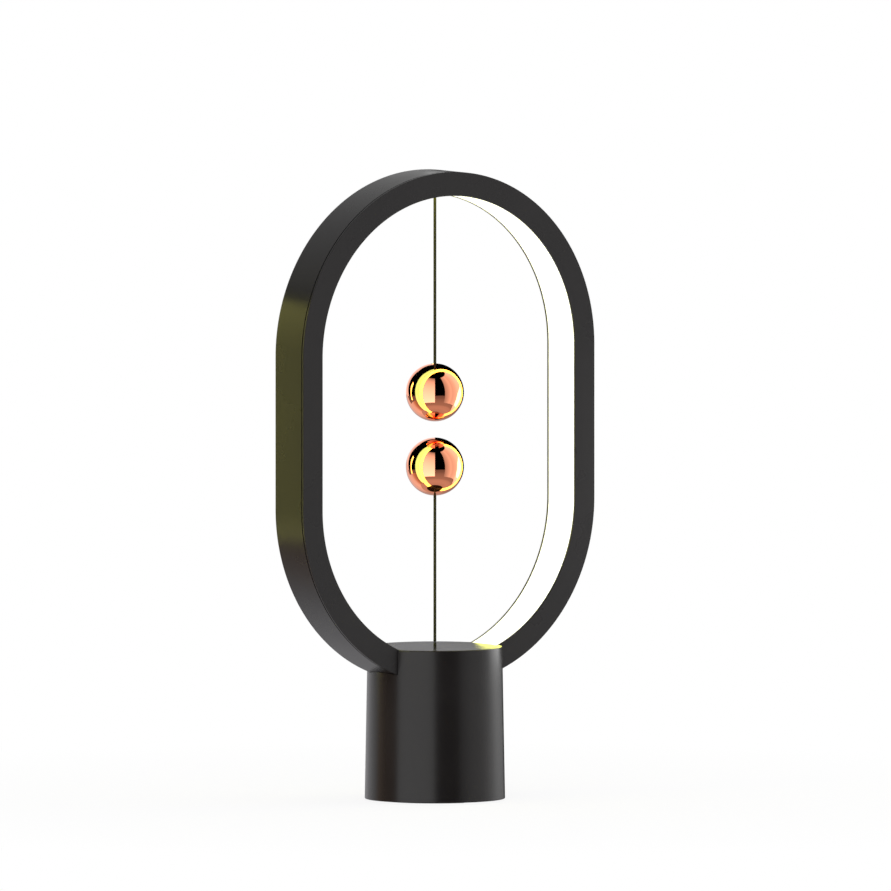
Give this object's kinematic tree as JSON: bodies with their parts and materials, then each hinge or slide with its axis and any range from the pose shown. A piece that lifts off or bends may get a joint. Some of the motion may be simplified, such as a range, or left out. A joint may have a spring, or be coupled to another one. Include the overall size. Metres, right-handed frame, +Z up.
{
  "type": "magnetic balance lamp",
  "caption": "Table lamp with an oval light ring on a round base; two magnet balls on cords pull together inside the ring and work a pull switch.",
  "frame": {"origin": "on the table under the middle of the base, the centre of the bottom of the bounding box", "axes": "+Z up along the cords, +X along the width of the ring, -Y out of the front of the ring; the power inlet is at +Y"},
  "size_m": [0.135, 0.0526, 0.2365],
  "materials": {
    "base_black": "satin moulded, near black",
    "ring_black": "matt, fine grain, near black",
    "diffuser_white": "milky diffuser, lit",
    "ball_copper": "mirror polished, copper plated",
    "cord_olive": "fine braided cord, dark olive",
    "bushing_black": "moulded",
    "nylon": "moulded, natural white",
    "screw_steel": "zinc plated",
    "carrier_aluminium": "rolled band",
    "strip_white": "flexible circuit, white",
    "led_yellow": "phosphor resin",
    "lead_red": "insulated wire",
    "lead_black": "insulated wire",
    "switch_black": "moulded",
    "contact_brass": "stamped",
    "board_green": "solder mask",
    "inlet_steel": "folded, nickel plated",
    "weight_steel": "turned",
    "foot_rubber": "matt, fine texture",
    "spring_steel": "wire",
    "magnet_nickel": "nickel plated"
  },
  "bodies": {
    "lamp_body": {"base_housing": "base_black", "base_top_cap": "base_black", "cap_screws": "screw_steel", "cord_bushing": "bushing_black", "ring_saddle": "nylon", "saddle_screws": "screw_steel", "ring_screws": "screw_steel", "ring_channel": "ring_black", "ring_front_cover": "ring_black", "ring_diffuser": "diffuser_white", "led_carrier": "carrier_aluminium", "led_strip": "strip_white", "led_chips": "led_yellow", "led_leads": "lead_red", "upper_cord_eyelet": "nylon", "upper_cord_knot": "cord_olive", "switch_body": "switch_black", "switch_lid": "switch_black", "switch_screws": "screw_steel", "fixed_contacts": "contact_brass", "switch_leads": "lead_black", "circuit_board": "board_green", "board_parts": "switch_black", "board_screws": "screw_steel", "inlet_shell": "inlet_steel", "inlet_tongue": "switch_black", "steel_weight": "weight_steel", "bottom_cover": "base_black", "cover_screws": "screw_steel", "foot_pad": "foot_rubber"},
    "plunger": {"pull_plunger": "nylon", "contact_bridge": "contact_brass", "return_spring": "spring_steel", "pull_cord_tail": "cord_olive"},
    "lower_cord_bend": {"lower_bend": "cord_olive"},
    "lower_ball": {"lower_cord": "cord_olive", "lower_crimp": "contact_brass", "lower_ball_cord_half": "ball_copper", "lower_ball_magnet_half": "ball_copper", "lower_ball_core": "nylon", "lower_magnet": "magnet_nickel"},
    "upper_cord_bend": {"upper_bend": "cord_olive"},
    "upper_ball": {"upper_cord": "cord_olive", "upper_crimp": "contact_brass", "upper_ball_cord_half": "ball_copper", "upper_ball_magnet_half": "ball_copper", "upper_ball_core": "nylon", "upper_magnet": "magnet_nickel"}
  },
  "joints": [
    {"name": "upper_fore_aft", "type": "hinge", "parent": "lamp_body", "child": "upper_cord_bend", "pos_m": [0, 0, 0.227], "axis": [1, 0, 0], "range_deg": [-80, 80]},
    {"name": "upper_side", "type": "hinge", "parent": "upper_cord_bend", "child": "upper_ball", "pos_m": [0, 0, 0.227], "axis": [0, 1, 0], "range_deg": [-37, 37]},
    {"name": "pull_switch", "type": "slide", "parent": "lamp_body", "child": "plunger", "axis": [0, 0, 1], "range_m": [-0.0015, 0], "stiffness_N_per_m": 200, "springref_m": 0.003, "deforming": ["return_spring"]},
    {"name": "lower_fore_aft", "type": "hinge", "parent": "plunger", "child": "lower_cord_bend", "pos_m": [0, 0, 0.0598], "axis": [1, 0, 0], "range_deg": [-85, 85], "stiffness_Nm_per_rad": 0.04},
    {"name": "lower_side", "type": "hinge", "parent": "lower_cord_bend", "child": "lower_ball", "pos_m": [0, 0, 0.0598], "axis": [0, 1, 0], "range_deg": [-43, 43], "stiffness_Nm_per_rad": 0.04}
  ]
}
